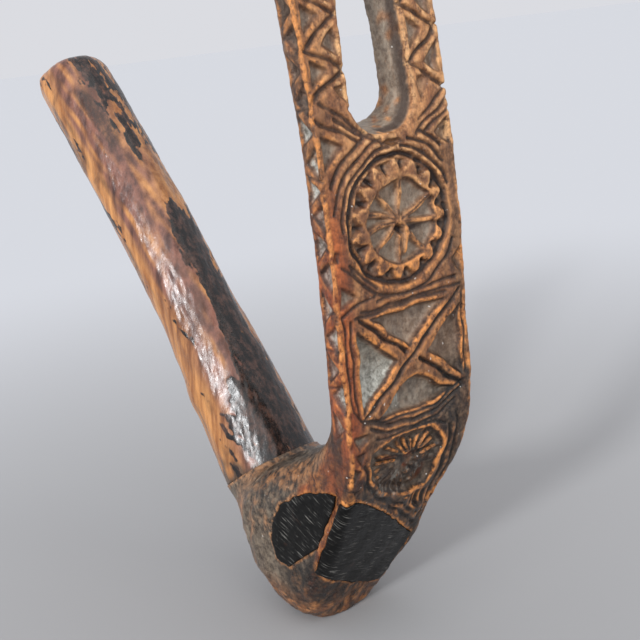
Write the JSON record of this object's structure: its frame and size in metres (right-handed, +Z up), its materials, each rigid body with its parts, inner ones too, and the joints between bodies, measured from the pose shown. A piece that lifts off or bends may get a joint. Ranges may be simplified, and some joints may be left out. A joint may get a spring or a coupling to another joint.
{
  "type": "headrest",
  "caption": "V-shaped carved wooden headrest crook: a slotted chip-carved upright limb and a plain round limb rising from one rounded heel.",
  "frame": {"origin": "middle of the small flat foot under the rounded heel, on the surface the object stands on", "axes": "+Z up, -Y the way the chip-carved face looks, +Y the way the round limb leans, +X across the carved face to its right as the face is seen"},
  "size_m": [0.06, 0.2052, 0.296],
  "materials": {
    "carved_wood": "hand-polished, worn orange ridges with grey-green patina in the cuts",
    "limb_wood": "glossy hand-worn wood with patches of black lacquer",
    "peg_wood": "dark end grain",
    "pitch": "black pitch, scraped flat"
  },
  "bodies": {
    "root": {"carved_limb": "carved_wood", "round_limb": "limb_wood", "tenon_wedge": "peg_wood", "tenon_peg": "peg_wood", "front_pitch_patch": "pitch", "side_pitch_patch": "pitch"}
  },
  "joints": []
}
